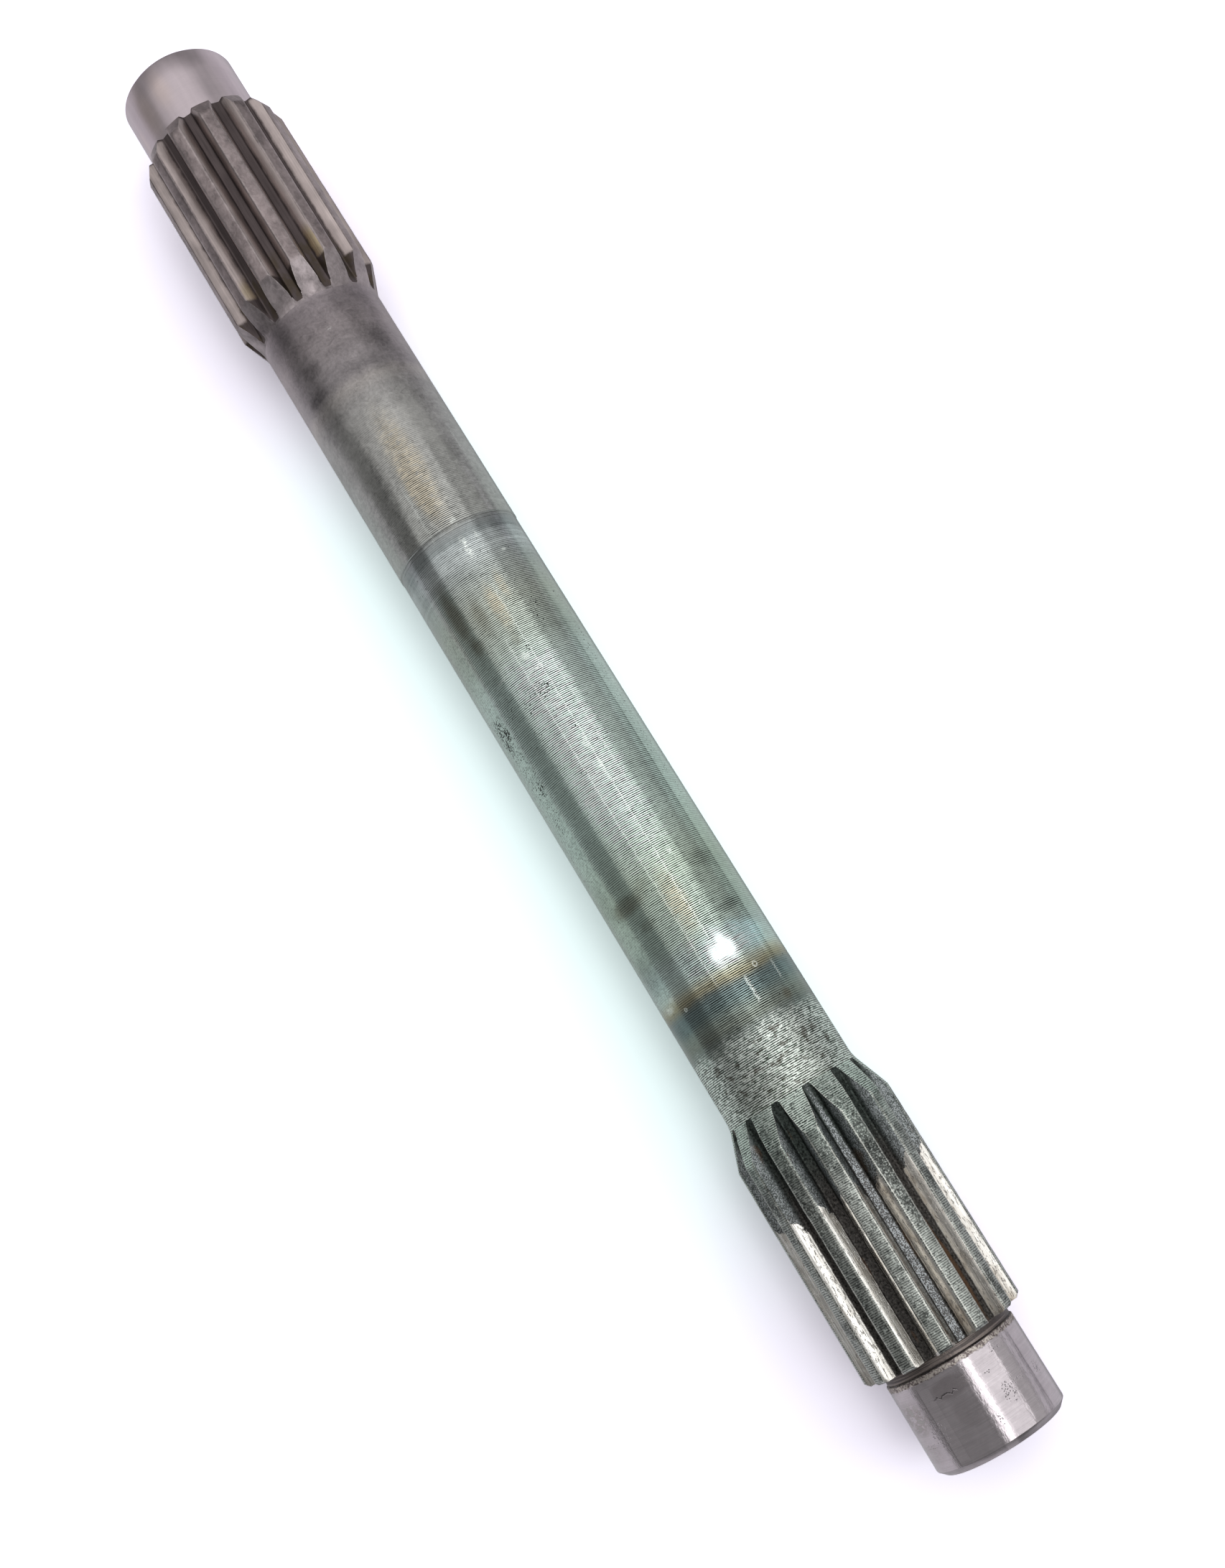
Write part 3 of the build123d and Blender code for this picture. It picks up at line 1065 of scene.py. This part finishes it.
@dataclass(frozen=True)
class NearFlankFinish(Finish):
    """Gaps of the near spline: flanks rubbed bright by the hub, black pitting above, rusty roots, with painted glints
    in the pitting and painted shade on the flanks between azimuths -75 and 3.
    """

    name: str = "near_spline_gaps"
    root: Triple = tone(0.3, 0.29, 0.28)
    cool_root: Triple = tone(0.25, 0.285, 0.27)
    above: Triple = tone(0.42, 0.45, 0.44)
    painted_glitter: Triple = tone(0.76, 0.78, 0.79)
    worn: Triple = tone(0.965, 0.955, 0.93)
    oil_and_shade: Triple = tone(0.62, 0.585, 0.54)
    nick: Triple = tone(0.3, 0.27, 0.25)
    rust: Triple = tone(0.42, 0.31, 0.22)

    def layers(self, skin: Skin) -> Layers:
        """Pits and rusts the gaps, and rubs the flanks.

        Args:
            skin: that of the near gaps.

        Returns:
            Its layers.
        """
        bench, noise, station, radius = skin.bench, skin.noise, skin.station, skin.radius
        waver = noise(0.9, 0.9, 5.5, 3, 0.6)
        clouds = noise(0.25, 0.5, 27, 3, 0.6)
        fine = noise(3.2, 3.2, 17, 3, 0.7)
        streaks = noise(0.14, 5, 9.1, 3, 0.65)
        reach = vary(station + (radius - 11.6) * 1.6, (waver, 3)).band(211.8, 238, 0.4)
        worn = vary(radius, (waver, 0.25)).smooth(10.72, 10.95) * reach

        # Pitted metal above the hub and in the roots
        flecks = vary(noise(5.5, 5.5, 18), (waver, 0.3)).smooth(0.5, 0.56)
        above = station.smooth(213, 209) * radius.smooth(10.6, 11.2)
        # Painted glints: pale specks in the pitting, strongest along azimuth -12 and on the flank tips
        painted_glitter = skin.patches(0.3, (222, -12, 60, 8, 0.9)) + (1 - reach) * radius.smooth(10.9, 11.5) * 0.7
        rusty = skin.patches(0.5, (228, -37, 18, 12, 1)) + noise(0.15, 0.5, 2.7).smooth(0.56, 0.7) * 0.7
        root = bench.coats(
            self.root, (station.smooth(212, 202) * 0.8, self.cool_root), (above * 0.5, self.above)
        )
        deep = bench.coats(
            bench.shade(root, vary(0.85, (fine, 4))),
            (painted_glitter * (0.12 + flecks * 0.75), self.painted_glitter),
            ((rusty * (0.5 + fine)).smooth(0.2, 1) * 0.65, self.rust),
        )

        # Metal rubbed by the hub, with oil dried on it, and painted shade, darker and browner, between azimuths -75
        # and 3
        shaded = skin.around.band(-75, 3, 4)
        # Dried oil, and painted shade that browns and darkens the flanks between azimuths -75 and 3
        oil_and_shade = clouds.smooth(0.5, 0.64) * 0.4 + shaded * 0.35 + station.smooth(230, 236) * 0.3
        rubbed = bench.coats(self.worn, (oil_and_shade, self.oil_and_shade))
        rubbed = bench.shade(rubbed, vary(1 - shaded * 0.12, (streaks, 1.9 - shaded * 0.7), (clouds, 0.6)))
        nicks = noise(1.2, 4, 29, 3, 0.7).smooth(0.56, 0.64)
        colour = bench.coats(deep, (worn, bench.coats(rubbed, (nicks * 0.55, self.nick))))
        rough = vary(0.5, (streaks, 0.18)) - worn * 0.26
        return Layers(colour, rough, fine * 0.07 * (1 - worn) + (streaks * 0.012 - nicks * 0.02) * worn)


@dataclass(frozen=True)
class PolishedFinish(Finish):
    """Near journal: polished by its bush, scratched round, with rust against the relief, and a painted highlight,
    painted reflection bands and painted dark reflection lines.
    """

    name: str = "polished_near_journal"
    tint: Triple = tone(0.765, 0.735, 0.75)
    rust: Triple = tone(0.3, 0.235, 0.2)
    cream: Triple = tone(0.8, 0.765, 0.72)
    water_mark: Triple = tone(0.6, 0.6, 0.58)
    tide_mark: Triple = tone(0.45, 0.38, 0.33)
    pit: Triple = tone(0.27, 0.26, 0.27)
    grime: Triple = tone(0.36, 0.33, 0.31)
    pit_clusters: tuple[Spot, ...] = (
        (244.2, 43, 4.5, 22, 1), (242.8, 45, 1.5, 8, 0.8), (243.9, -23, 3.8, 14, 1.2), (243.2, -38, 1, 26, 0.7),
        (243.7, -60, 3, 10, 0.8), (245.4, 62, 1.2, 30, 0.5), (238.4, -38, 0.7, 40, 0.8), (240.3, -16, 0.6, 10, 0.9),
        (246, -6, 3, 6, 0.5),
    )

    def layers(self, skin: Skin) -> Layers:
        """Polishes, scratches and rusts a skin.

        Args:
            skin: that of the near journal and its relief.

        Returns:
            Its layers.
        """
        bench, noise, station, around = skin.bench, skin.noise, skin.station, skin.around
        clouds = noise(0.3, 0.3, 4, 3)
        fine = noise(3, 3, 8, 3, 0.7)
        worm = noise(1.5, 0.9, 21, 4, 0.65)
        scratches = noise(7, 0.14, 3, 4, 0.65)

        relief = station.smooth(236.75, 236.35)
        ledge = vary(station, (worm, 0.9)).band(236.5, 237.3, 0.2)
        rim = station.smooth(248.95, 249.15)
        pits = skin.specks(3.4, 6, 0.26, 0.14, 1.3) * skin.patches(0.5, *self.pit_clusters).smooth(0.15, 0.7)
        squiggle = abs(vary(station - 240, (noise(0.1, 1.6, 13), 1.6))).smooth(0.16, 0.07)
        squiggle = squiggle * skin.patches(0.3, (240.1, 21, 3, 24, 1))
        water = skin.patches(0.6, (241.5, 62, 6.5, 44, 1), (246.5, 66, 4, 36, 0.5))
        tide = water * (1 - abs(worm - 0.5) * 14).smooth(0, 1)
        film = skin.patches(0.4, (239.4, 14, 3.6, 40, 0.8), (243, 12, 5, 26, 0.35))
        # Painted dark reflection lines at azimuths 41 and -52
        lines = skin.scores(0.02, 0, (41, 238, 249, 0.18, 0.3), (-52, 238.2, 249, 0.26, 0.3))
        # Painted reflections: lighter from 30.5 to 41 and from 3 to 30, a painted highlight with ragged edges from -9
        # to 1, and dimmer from -28 to -11
        painted_reflections = around.band(30.5, 41, 1.2) * station.band(238.2, 248.6, 0.8) * 0.2 + around.band(3, 30, 3) * 0.1
        painted_reflections = painted_reflections + vary(around, (worm, 5)).band(-9, 1, 1.5) * 0.3 - around.band(-28, -11, 2) * 0.1

        amount = vary(1 + painted_reflections - rim * 0.3 - lines, (clouds, 0.35), (scratches, 0.5), (worm, 0.3))
        colour = bench.coats(
            self.tint,
            (water * worm.smooth(0.42, 0.62) * 0.7, self.water_mark),
            (film * (0.4 + scratches) * 0.35, self.rust),
        )
        speckle = bench.coats(self.rust, (vary(fine, (worm, 0.5)).smooth(0.44, 0.56), self.cream))
        rings = noise(5, 0.1, 25).smooth(0.45, 0.58)
        colour = bench.coats(
            bench.shade(colour, amount),
            (tide * 0.35, self.tide_mark),
            (pits * 0.7 + squiggle * 0.65, self.pit),
            (ledge * 0.75, speckle),
            (relief * 0.92, bench.shade(self.grime, 0.15 + fine * 0.8 + rings * 1.4)),
        )
        rough = vary(0.14, (scratches, 0.12)) + ledge * 0.3 + relief * 0.25 + rim * 0.18 + pits * 0.2
        rough = rough + water * 0.14 + film * 0.05
        height = scratches * 0.002 + worm * 0.012 + noise(1.1, 2.2, 55, 3, 0.6) * 0.022
        height = height + fine * (ledge + relief) * 0.06 - pits * 0.03 - squiggle * 0.02
        return Layers(colour, rough, height)


@dataclass(frozen=True)
class FacedFinish(Finish):
    """End faces and lathe centres: faced on the lathe, with rings round the axis."""

    name: str = "faced_ends"
    tint: Triple = tone(0.68, 0.67, 0.66)
    feed: float = 0.22

    def layers(self, skin: Skin) -> Layers:
        """Faces a skin.

        Args:
            skin: that of the ends.

        Returns:
            Its layers.
        """
        clouds = skin.noise(0.35, 0.35, 7, 3)
        wave = skin.bench.maths("SINE", (skin.radius * (1 / self.feed) + skin.turns) * FULL_TURN)
        # Darker inside the lathe centres
        inside = skin.radius.smooth(3, 2.2)
        amount = vary(1 + wave * 0.06, (clouds, 0.5)) - inside * 0.45
        rough = vary(0.36, (clouds, 0.2)) + inside * 0.1
        return Layers(skin.bench.shade(self.tint, amount), rough, wave * 0.0035 + clouds * 0.004)


@dataclass
class SplinedShaft:
    """The whole shaft: one tooth sector, repeated round the axis and welded. In mm and degrees."""

    form: ToothForm = field(default_factory=ToothForm)
    turned: TurnedForm = field(default_factory=TurnedForm)
    far_spline: SplineWear = SplineWear(78.6, 13.6, 47.2, 0.05)
    near_spline: SplineWear = SplineWear(90.0, 211.6, 236.0, 0.09)
    axis_height: float = Skin.AXIS_HEIGHT
    edge_reach: float = 0.10
    weld: float = 0.002
    dent_depth: float = 0.07
    dent_size: float = 0.9
    seed: float = 7.0
    crease: float = 32.0
    straight_run: float = 2.0
    face_margin: float = 0.02
    far_land_run: float = 0.4
    near_land_run: float = 0.6

    def _phase(self, station: float) -> float:
        """Azimuth of the sector's middle: the gaps turn from one spline to the other.

        Args:
            station: where along the shaft.

        Returns:
            The azimuth in degrees.
        """
        start, end = self.turned.cone_bases(self.form.major_radius)
        run = self.straight_run
        share = min(1.0, max(0.0, (station - start - run) / (end - start - 2 * run)))
        far, near = self.far_spline.land_azimuth, self.near_spline.land_azimuth
        return far + (near - far) * share + self.form.half_pitch

    def _zone(self, station: float, radius: float, in_gap: bool) -> Zone:
        """Finish of a face.

        Args:
            station: middle of the face along the shaft.
            radius: its distance from the axis.
            in_gap: whether the cutter made it.

        Returns:
            The zone.
        """
        turned, margin = self.turned, self.face_margin
        inside = turned.far_journal - turned.chamfer - 0.2
        if not margin < station < turned.length - margin or radius < inside:
            return Zone.END_FACE
        if station < turned.far_journal_length - 0.001:
            return Zone.FAR_JOURNAL
        if station > turned.near_spline_end + 0.001:
            return Zone.NEAR_JOURNAL
        if in_gap:
            return Zone.FAR_FLANK if station < turned.length / 2 else Zone.NEAR_FLANK
        far_base, near_base = turned.cone_bases(self.form.major_radius)
        if station < far_base + self.far_land_run:
            return Zone.FAR_LAND
        return Zone.NEAR_LAND if station > near_base + self.near_land_run else Zone.BODY

    def sector(self) -> bpy.types.Mesh:
        """Mesh of one tooth gap with half a tooth on each side, all along the shaft.

        Returns:
            The mesh in metres, the axis on X, with its zones and edges as attributes.
        """
        columns = self.form.columns()
        major, across = self.form.major_radius, len(columns)
        reach = np.array([c.reach for c in columns])
        rows = self.turned.rows(self.form, sorted({c.reach for c in columns if c.reach < math.inf}))
        station, ring = np.array(rows).T
        radius = np.minimum(ring[:, None], reach)
        wear = np.array([self.far_spline.wear(x) + self.near_spline.wear(x) for x in station])
        own_wear = np.array([math.copysign(math.degrees(c.wear / major), c.angle) for c in columns])
        phase = np.array([self._phase(x) for x in station])
        angle = phase[:, None] + np.array([c.angle for c in columns]) + wear[:, None] * own_wear
        turn = np.radians(angle)
        shown = np.where(radius > major - 0.5, radius - self.turned.tip_clearance, radius)
        along = np.broadcast_to(station[:, None] - self.turned.length / 2, radius.shape)
        points = np.stack([along, shown * np.cos(turn), shown * np.sin(turn)], -1)
        gap_depth = ring[:, None] - reach
        toothed = (ring > self.turned.far_body + 0.15)[:, None]
        edge = np.where(toothed, np.exp(-np.abs(np.clip(gap_depth, -50, 50)) / self.edge_reach), 0.0)

        faces: list[tuple[int, ...]] = []
        zones: list[int] = []
        for i in range(len(rows) - 1):
            for k in range(across - 1):
                corners = [(i, k), (i, k + 1), (i + 1, k + 1), (i + 1, k)]
                on_edge = [abs(gap_depth[c]) < 1e-6 for c in corners]
                loops = [(0, 1, 2, 3)]
                if on_edge in ([True, False, True, False], [False, True, False, True]):
                    loops = [(0, 1, 2), (0, 2, 3)] if on_edge[0] else [(1, 2, 3), (1, 3, 0)]
                tip_edge = min(reach[k], reach[k + 1]) > major - self.form.edge_break - 0.01
                for loop in loops:
                    own = [corners[n] for n in loop]
                    depth, middle, high = (np.mean([a[c] for c in own]) for a in (gap_depth, along, radius))
                    faces.append(tuple(row * across + column for row, column in own))
                    place = middle + self.turned.length / 2
                    zones.append(self._zone(place, high, depth > 1e-6 and not tip_edge))
        mesh = bpy.data.meshes.new("tooth_sector")
        mesh.from_pydata((points.reshape(-1, 3) * MM).tolist(), [], faces)
        mesh.attributes.new("zone", "INT", "FACE").data.foreach_set("value", np.array(zones, dtype=np.int32))
        mesh.attributes.new("edge", "FLOAT", "POINT").data.foreach_set("value", edge.astype(np.float32).ravel())
        log.info("sector: %d rings of %d lines", len(rows), across)
        return mesh

    def tree(self, finishes: Mapping[Zone, bpy.types.Material]) -> tuple[bpy.types.NodeTree, dict[str, Any]]:
        """Geometry Nodes that make the shaft of one sector.

        Args:
            finishes: the material of each zone.

        Returns:
            The tree, and the value of each named input.
        """
        tree = bpy.data.node_groups.new("shaft_of_sectors", "GeometryNodeTree")
        inputs = {
            "Sector": ("Geometry", None),
            "Teeth": ("Int", self.form.teeth),
            "Axis Height": ("Float", self.axis_height * MM),
            "Weld Distance": ("Float", self.weld * MM),
            "Dent Depth": ("Float", self.dent_depth * MM),
            "Dents per Metre": ("Float", 1 / (self.dent_size * MM)),
            "Dent Seed": ("Float", self.seed),
            "Crease Angle": ("Float", math.radians(self.crease)),
            **{zone.label: ("Material", finish) for zone, finish in finishes.items()},
        }
        for name, (kind, _) in inputs.items():
            tree.interface.new_socket(name=name, in_out="INPUT", socket_type="NodeSocket" + kind)
        tree.interface.new_socket(name="Shaft", in_out="OUTPUT", socket_type="NodeSocketGeometry")
        bench = Bench(tree)
        given = {socket.name: Wire(bench, socket) for socket in bench.node("NodeGroupInput").outputs}

        def carried(kind: str, name: str) -> Wire:
            """A value that the mesh carries."""
            return bench.add("GeometryNodeInputNamedAttribute", {"Name": name}, {"data_type": kind}, "Attribute")

        # One copy of the sector for each tooth, turned about the shaft's axis
        seats = bench.add("GeometryNodePoints", {"Count": given["Teeth"]})
        turn = bench.add("GeometryNodeInputIndex") * FULL_TURN / given["Teeth"]
        rotation = bench.add("FunctionNodeEulerToRotation", {0: bench.join(turn, 0.0, 0.0)})
        feeds = {"Points": seats, "Instance": given["Sector"], "Rotation": rotation}
        shaft = bench.add("GeometryNodeInstanceOnPoints", feeds)

        # Small dents along the edges of the teeth, always inwards
        place = bench.add("GeometryNodeInputPosition")
        feeds = {"Vector": place, "W": given["Dent Seed"], "Scale": given["Dents per Metre"], "Detail": 1.0}
        bumps = bench.add("ShaderNodeTexNoise", feeds, {"noise_dimensions": "4D"}).smooth(0.48, 0.78)
        depth = bumps * carried("FLOAT", "edge") * given["Dent Depth"]
        inward = bench.shade(bench.add("GeometryNodeInputNormal"), -depth)

        # Smooth skin with sharp creases
        fold = bench.add("GeometryNodeInputMeshEdgeAngle", output="Unsigned Angle")
        flat = bench.maths("LESS_THAN", fold, given["Crease Angle"])
        number = carried("INT", "zone")
        equal = {"data_type": "INT", "operation": "EQUAL"}
        chosen = {zone: bench.add("FunctionNodeCompare", {2: number, 3: int(zone)}, equal) for zone in finishes}
        for kind, feeds, settings in (
            ("RealizeInstances", {}, {}),
            ("MergeByDistance", {"Distance": given["Weld Distance"]}, {}),
            ("SetPosition", {"Offset": inward}, {}),
            ("SetPosition", {"Offset": bench.join(0.0, 0.0, given["Axis Height"])}, {}),
            ("SetShadeSmooth", {"Shade Smooth": True}, {"domain": "FACE"}),
            ("SetShadeSmooth", {"Shade Smooth": flat}, {"domain": "EDGE"}),
            *(("SetMaterial", {"Selection": chosen[z], "Material": given[z.label]}, {}) for z in finishes),
        ):
            shaft = bench.add("GeometryNode" + kind, {"Geometry": shaft, **feeds}, settings)
        bench.node("NodeGroupOutput", {0: shaft})
        return tree, {name: value for name, (_, value) in inputs.items() if value is not None}

    def build(self, finishes: Mapping[Zone, bpy.types.Material]) -> bpy.types.Object:
        """Makes the shaft as one plain mesh.

        Args:
            finishes: the material of each zone.

        Returns:
            The shaft's object, at the origin.
        """
        maker = stand("sector_maker", self.sector())
        modifier = maker.modifiers.new("shaft", "NODES")
        tree, values = self.tree(finishes)
        modifier.node_group = tree
        sockets = {s.name: s.identifier for s in tree.interface.items_tree if s.in_out == "INPUT"}
        for name, value in values.items():
            modifier[sockets[name]] = value
        graph = bpy.context.evaluated_depsgraph_get()
        mesh = bpy.data.meshes.new_from_object(maker.evaluated_get(graph), depsgraph=graph)
        maker.modifiers.remove(modifier)
        bpy.data.objects.remove(maker)
        mesh.name = "shaft"
        self._lay_map(mesh)
        return stand("shaft", mesh)

    def _lay_map(self, mesh: bpy.types.Mesh) -> None:
        """Unrolls the skin into two strips side by side, and the end faces beside them.

        Args:
            mesh: the finished mesh.
        """

        def read(items: Any, key: str, width: int, kind: type) -> np.ndarray:
            """One array of a mesh's values.

            Args:
                items: the vertices, faces or corners.
                key: what is read of each.
                width: how many numbers that is.
                kind: their type.

            Returns:
                The numbers in one row.
            """
            values = np.empty(len(items) * width, dtype=kind)
            items.foreach_get(key, values)
            return values

        place = read(mesh.vertices, "co", 3, float).reshape(-1, 3)
        place = place[read(mesh.loops, "vertex_index", 1, np.int32)] / MM
        place[:, 2] -= self.axis_height
        totals = read(mesh.polygons, "loop_total", 1, np.int32)
        zones = read(mesh.attributes["zone"].data, "value", 1, np.int32)
        face = np.repeat(np.arange(len(totals)), totals)
        middle = np.stack([np.bincount(face, place[:, i]) / totals for i in range(3)], -1)[face]
        turn, own = (np.arctan2(-p[:, 1], p[:, 2]) / FULL_TURN for p in (place, middle))
        turn = np.where(np.hypot(place[:, 1], place[:, 2]) < 0.01, own, turn - np.round(turn - own))

        near_half = middle[:, 0] > 0
        length, reach, strip, disc = self.turned.length / 2, self.turned.near_journal, 0.44, 0.04
        along = 0.01 + 0.98 * np.where(near_half, place[:, 0], place[:, 0] + length) / length
        across = (turn + 0.5) * strip + np.where(near_half, 0.46, 0.005)
        flat = zones[face] == int(Zone.END_FACE)
        across = np.where(flat, 0.955 + place[:, 1] / reach * disc, across)
        along = np.where(flat, np.where(near_half, 0.75, 0.25) + place[:, 2] / reach * disc, along)
        flattened = np.stack([across, along], -1).astype(np.float32).ravel()
        mesh.uv_layers.new(name="OFBake").uv.foreach_set("vector", flattened)


@dataclass(frozen=True)
class Softbox:
    """Rectangular lamp. Sizes in metres; brightness is what a mirror would show."""

    name: str
    place: Triple
    aim: Triple
    length: float
    width: float
    brightness: float

    def build(self) -> None:
        """Hangs the lamp, its length along X."""
        lamp = bpy.data.lights.new(self.name, "AREA")
        lamp.shape = "RECTANGLE"
        lamp.size, lamp.size_y = self.length, self.width
        lamp.energy = self.brightness * math.pi * self.length * self.width
        back = (Vector(self.place) - Vector(self.aim)).normalized()
        side = Vector((1.0, 0.0, 0.0))
        side = (side - back * side.dot(back)).normalized()
        stand(self.name, lamp, self.place, (side, back.cross(side), back))


@dataclass(frozen=True)
class Camera:
    """The camera, close above the shaft and a little towards its near end. Sizes in metres."""

    place: Triple = (0.07997, 0.00719, 0.2699)
    right: Triple = (0.50899, 0.84896, -0.14208)
    up: Triple = (-0.82826, 0.52798, 0.18767)
    back: Triple = (0.23435, 0.02216, 0.97190)
    lens: float = 40.29
    film: float = 36.0

    def build(self) -> None:
        """Sets up the scene's camera."""
        data = bpy.data.cameras.new("camera")
        data.lens, data.sensor_width = self.lens, self.film
        data.clip_start, data.clip_end = 0.01, 50.0
        bpy.context.scene.camera = stand("camera", data, self.place, (self.right, self.up, self.back))


@dataclass(frozen=True)
class Studio:
    """Pale floor, soft lamps overhead and to the right, dim walls."""

    floor_size: float = 12.0
    cool: Triple = (0.80, 0.92, 0.925)
    mauve: Triple = (0.84, 0.81, 0.905)
    plain: Triple = (0.88, 0.88, 0.88)
    camera_gain: float = 2.2
    glossy_gain: float = 1.14
    walls: float = 0.25
    lamps: tuple[Softbox, ...] = (
        Softbox("key_softbox", (-0.10, 0.283, 0.748), (-0.10, 0.0, 0.0), 0.40, 1.01, 1.0),
        Softbox("near_softbox", (0.36, 0.436, 0.671), (0.36, 0.0, 0.0), 0.52, 0.815, 1.1),
        Softbox("tube_lamp", (0.56, 0.34, 1.15), (0.30, 0.0, 0.0), 0.80, 0.14, 0.8),
        Softbox("far_softbox", (-0.65, 0.415, 0.80), (-0.65, 0.415, 0.0), 0.70, 1.07, 0.74),
        Softbox("left_softbox", (-0.52, -0.535, 0.80), (-0.52, -0.535, 0.0), 0.95, 0.83, 0.64),
        Softbox("side_softbox", (-0.1, 1.05, 0.33), (0.0, 0.0, 0.02), 1.8, 0.6, 0.35),
        Softbox("spot_lamp", (-0.09, 0.41, 1.15), (0.05, 0.0, 0.0), 0.10, 0.36, 1.3),
    )

    @staticmethod
    def _rays(owner: Any) -> tuple[Bench, dict[str, Wire]]:
        """Clears the nodes of a material or the world.

        Args:
            owner: the material or the world.

        Returns:
            Its bench, and the Light Path outputs by name.
        """
        owner.use_nodes = True
        owner.node_tree.nodes.clear()
        bench = Bench(owner.node_tree)
        return bench, {socket.name: Wire(bench, socket) for socket in bench.node("ShaderNodeLightPath").outputs}

    def _floor_material(self) -> bpy.types.Material:
        """White floor that keeps the shaft's shadow, with two dim strips, a painted reflection seen only in the
        metal.

        Returns:
            The floor's material.
        """
        material = bpy.data.materials.new("floor")
        bench, rays = self._rays(material)
        camera, glossy, clear = (rays[f"Is {kind} Ray"] for kind in ("Camera", "Glossy", "Transmission"))
        along, aside, _ = bench.split(bench.add("ShaderNodeTexCoord", output="Object"))
        middle = abs(along - 0.012).smooth(0.095, 0.045)
        tint = bench.coats(self.mauve, (middle, self.cool), (glossy * 0.55, self.plain))
        # Painted reflection: darker strips of floor, seen only in the metal, from 0 to 17.5 mm and from 68 to 105 mm
        # towards +Y
        strip = (aside.band(0.068, 0.105, 0.012) + aside.band(0.0, 0.0175, 0.005) * 0.8) * glossy
        mirrored = bench.maths("MAXIMUM", glossy, clear) * (self.glossy_gain - 1.0) - strip * 0.55
        white = bench.shade(tint, camera * (self.camera_gain - 1.0) + mirrored + 1.0)
        bench.node("ShaderNodeOutputMaterial", {"Surface": bench.add("ShaderNodeBsdfDiffuse", {"Color": white})})
        return material

    def _hang_walls(self) -> None:
        """Dim walls for the lamps' light, and a white background for the camera."""
        bpy.context.scene.world = world = bpy.data.worlds.new("studio")
        bench, rays = self._rays(world)
        strength = rays["Is Camera Ray"] * (1.0 - self.walls) + self.walls
        walls = bench.add("ShaderNodeBackground", {"Color": (1.0, 1.0, 1.0, 1.0), "Strength": strength})
        bench.node("ShaderNodeOutputWorld", {"Surface": walls})

    def build(self) -> None:
        """Lays the floor and hangs the lamps."""
        half = self.floor_size / 2
        mesh = bpy.data.meshes.new("floor")
        mesh.from_pydata([(-half, -half, 0), (half, -half, 0), (half, half, 0), (-half, half, 0)], [], [(0, 1, 2, 3)])
        mesh.materials.append(self._floor_material())
        stand("floor", mesh)
        self._hang_walls()
        for lamp in self.lamps:
            lamp.build()
        bpy.context.scene.view_settings.view_transform = "Standard"


def main() -> None:
    """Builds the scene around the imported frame."""
    logging.basicConfig(level=logging.INFO, format="%(message)s")
    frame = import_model()
    axis_height = frame["record"]["mounts"][0]["pos_m"][2] / MM
    Camera().build()

    finishes = {
        Zone.FAR_JOURNAL: GroundFinish().material(),
        Zone.FAR_LAND: FarLandFinish().material(),
        Zone.FAR_FLANK: FarFlankFinish().material(),
        Zone.BODY: TurnedFinish().material(),
        Zone.NEAR_LAND: NearLandFinish().material(),
        Zone.NEAR_FLANK: NearFlankFinish().material(),
        Zone.NEAR_JOURNAL: PolishedFinish().material(),
        Zone.END_FACE: FacedFinish().material(),
    }
    shaft = SplinedShaft(axis_height=axis_height).build(finishes)
    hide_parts("splined_shaft")
    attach(shaft, "root")
    log.info("shaft: %d faces, %d corners", len(shaft.data.polygons), len(shaft.data.vertices))

    Studio().build()


if __name__ == "__main__":
    main()
